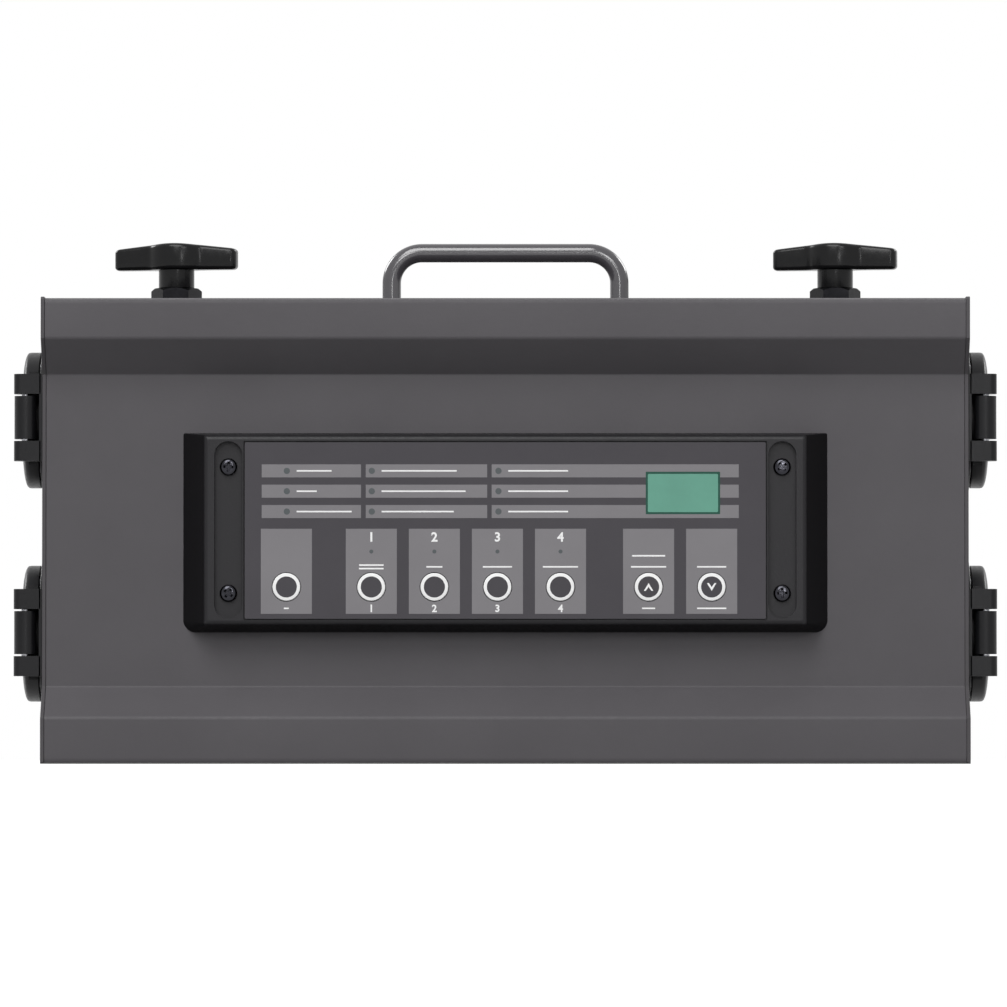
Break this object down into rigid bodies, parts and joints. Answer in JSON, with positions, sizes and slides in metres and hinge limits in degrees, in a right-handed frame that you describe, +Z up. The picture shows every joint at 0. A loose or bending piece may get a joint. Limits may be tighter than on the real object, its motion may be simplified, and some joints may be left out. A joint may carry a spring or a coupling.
{
  "type": "dimmer pack",
  "caption": "Grey steel dimmer pack with a channel and screw clamps for a stand's bar, a raised keypad console, side plug sockets under sprung lids and a carry handle.",
  "frame": {"origin": "on the bottom sheet, at the middle of the case's width and depth", "axes": "+X to the right as seen from the front, +Z up; the front with the console faces -Y"},
  "size_m": [0.393, 0.1386, 0.213],
  "materials": {
    "case_paint": "satin powder coat",
    "end_paint": "satin powder coat",
    "console_moulding": "fine texture",
    "overlay_film": "printed matt film",
    "display_filter": "tinted, glossy",
    "key_plastic": "printed matt film",
    "handle_steel": "satin, dark",
    "knob_plastic": "satin moulded",
    "zinc_steel": "zinc plated",
    "black_steel": "blackened",
    "socket_plastic": "satin moulded",
    "connector_plastic": "satin moulded",
    "board": "solder resist",
    "aluminium": "extruded",
    "copper_winding": "enamelled wire"
  },
  "bodies": {
    "case": {"front_shell": "case_paint", "rear_chassis": "case_paint", "end_plate_left": "end_paint", "end_plate_right": "end_paint", "console_housing": "console_moulding", "keypad_overlay": "overlay_film", "display_window": "display_filter", "carry_handle": "handle_steel", "socket_pin_left_lower": "zinc_steel", "socket_pin_left_upper": "zinc_steel", "socket_pin_right_lower": "zinc_steel", "socket_pin_right_upper": "zinc_steel", "clamp_nut_left": "black_steel", "clamp_nut_right": "black_steel", "control_transformer": "black_steel", "socket_base_left_lower": "socket_plastic", "socket_base_left_upper": "socket_plastic", "socket_base_right_lower": "socket_plastic", "socket_base_right_upper": "socket_plastic", "dmx_input_connector": "connector_plastic", "dmx_output_connector": "connector_plastic", "mains_gland": "connector_plastic", "display_module": "connector_plastic", "fuse_holder_1": "connector_plastic", "fuse_holder_2": "connector_plastic", "fuse_holder_3": "connector_plastic", "fuse_holder_4": "connector_plastic", "triac_1": "connector_plastic", "triac_2": "connector_plastic", "triac_3": "connector_plastic", "triac_4": "connector_plastic", "control_board": "board", "power_board": "board", "terminal_block": "board", "heat_sink": "aluminium", "choke_1": "copper_winding", "choke_2": "copper_winding", "choke_3": "copper_winding", "choke_4": "copper_winding"},
    "key_function": {"key_function": "key_plastic"},
    "key_channel_1": {"key_channel_1": "key_plastic"},
    "key_channel_2": {"key_channel_2": "key_plastic"},
    "key_channel_3": {"key_channel_3": "key_plastic"},
    "key_channel_4": {"key_channel_4": "key_plastic"},
    "key_up": {"key_up": "key_plastic"},
    "key_down": {"key_down": "key_plastic"},
    "jaw_left": {"clamp_jaw_left": "black_steel"},
    "knob_left": {"clamp_knob_left": "knob_plastic", "clamp_spindle_left": "zinc_steel"},
    "jaw_right": {"clamp_jaw_right": "black_steel"},
    "knob_right": {"clamp_knob_right": "knob_plastic", "clamp_spindle_right": "zinc_steel"},
    "lid_left_lower": {"socket_lid_left_lower": "socket_plastic"},
    "lid_left_upper": {"socket_lid_left_upper": "socket_plastic"},
    "lid_right_lower": {"socket_lid_right_lower": "socket_plastic"},
    "lid_right_upper": {"socket_lid_right_upper": "socket_plastic"},
    "fuse_cap_1": {"fuse_cap_1": "connector_plastic"},
    "fuse_cap_2": {"fuse_cap_2": "connector_plastic"},
    "fuse_cap_3": {"fuse_cap_3": "connector_plastic"},
    "fuse_cap_4": {"fuse_cap_4": "connector_plastic"}
  },
  "joints": [
    {"name": "press_key_function", "type": "slide", "parent": "case", "child": "key_function", "axis": [0, 1, 0], "range_m": [0, 0.0004], "stiffness_N_per_m": 600, "springref_m": -0.001},
    {"name": "press_key_channel_1", "type": "slide", "parent": "case", "child": "key_channel_1", "axis": [0, 1, 0], "range_m": [0, 0.0004], "stiffness_N_per_m": 600, "springref_m": -0.001},
    {"name": "press_key_channel_2", "type": "slide", "parent": "case", "child": "key_channel_2", "axis": [0, 1, 0], "range_m": [0, 0.0004], "stiffness_N_per_m": 600, "springref_m": -0.001},
    {"name": "press_key_channel_3", "type": "slide", "parent": "case", "child": "key_channel_3", "axis": [0, 1, 0], "range_m": [0, 0.0004], "stiffness_N_per_m": 600, "springref_m": -0.001},
    {"name": "press_key_channel_4", "type": "slide", "parent": "case", "child": "key_channel_4", "axis": [0, 1, 0], "range_m": [0, 0.0004], "stiffness_N_per_m": 600, "springref_m": -0.001},
    {"name": "press_key_up", "type": "slide", "parent": "case", "child": "key_up", "axis": [0, 1, 0], "range_m": [0, 0.0004], "stiffness_N_per_m": 600, "springref_m": -0.001},
    {"name": "press_key_down", "type": "slide", "parent": "case", "child": "key_down", "axis": [0, 1, 0], "range_m": [0, 0.0004], "stiffness_N_per_m": 600, "springref_m": -0.001},
    {"name": "clamp_rise_left", "type": "slide", "parent": "case", "child": "jaw_left", "axis": [0, 0, 1], "range_m": [0, 0.018]},
    {"name": "knob_turn_left", "type": "hinge", "parent": "jaw_left", "child": "knob_left", "pos_m": [-0.135, 0.0385, 0.2], "axis": [0, 0, 1], "range_deg": [0, 3703]},
    {"name": "clamp_rise_right", "type": "slide", "parent": "case", "child": "jaw_right", "axis": [0, 0, 1], "range_m": [0, 0.018]},
    {"name": "knob_turn_right", "type": "hinge", "parent": "jaw_right", "child": "knob_right", "pos_m": [0.135, 0.0385, 0.2], "axis": [0, 0, 1], "range_deg": [0, 3703]},
    {"name": "lid_swing_left_lower", "type": "hinge", "parent": "case", "child": "lid_left_lower", "pos_m": [-0.192, -0.0425, 0.0524], "axis": [0, 0, 1], "range_deg": [0, 105], "stiffness_Nm_per_rad": 0.01, "springref_deg": -20.05},
    {"name": "lid_swing_left_upper", "type": "hinge", "parent": "case", "child": "lid_left_upper", "pos_m": [-0.192, -0.0425, 0.1384], "axis": [0, 0, 1], "range_deg": [0, 105], "stiffness_Nm_per_rad": 0.01, "springref_deg": -20.05},
    {"name": "lid_swing_right_lower", "type": "hinge", "parent": "case", "child": "lid_right_lower", "pos_m": [0.192, -0.0425, 0.0524], "axis": [0, 0, -1], "range_deg": [0, 105], "stiffness_Nm_per_rad": 0.01, "springref_deg": -20.05},
    {"name": "lid_swing_right_upper", "type": "hinge", "parent": "case", "child": "lid_right_upper", "pos_m": [0.192, -0.0425, 0.1384], "axis": [0, 0, -1], "range_deg": [0, 105], "stiffness_Nm_per_rad": 0.01, "springref_deg": -20.05},
    {"name": "fuse_cap_turn_1", "type": "hinge", "parent": "case", "child": "fuse_cap_1", "pos_m": [-0.045, 0.06, 0.098], "axis": [0, -1, 0], "range_deg": [0, 60]},
    {"name": "fuse_cap_turn_2", "type": "hinge", "parent": "case", "child": "fuse_cap_2", "pos_m": [-0.015, 0.06, 0.098], "axis": [0, -1, 0], "range_deg": [0, 60]},
    {"name": "fuse_cap_turn_3", "type": "hinge", "parent": "case", "child": "fuse_cap_3", "pos_m": [0.015, 0.06, 0.098], "axis": [0, -1, 0], "range_deg": [0, 60]},
    {"name": "fuse_cap_turn_4", "type": "hinge", "parent": "case", "child": "fuse_cap_4", "pos_m": [0.045, 0.06, 0.098], "axis": [0, -1, 0], "range_deg": [0, 60]}
  ],
  "couplings": [
    {"joint": "knob_turn_left", "follows": "clamp_rise_left", "rad_per_m": 3590.4},
    {"joint": "knob_turn_right", "follows": "clamp_rise_right", "rad_per_m": 3590.4}
  ]
}
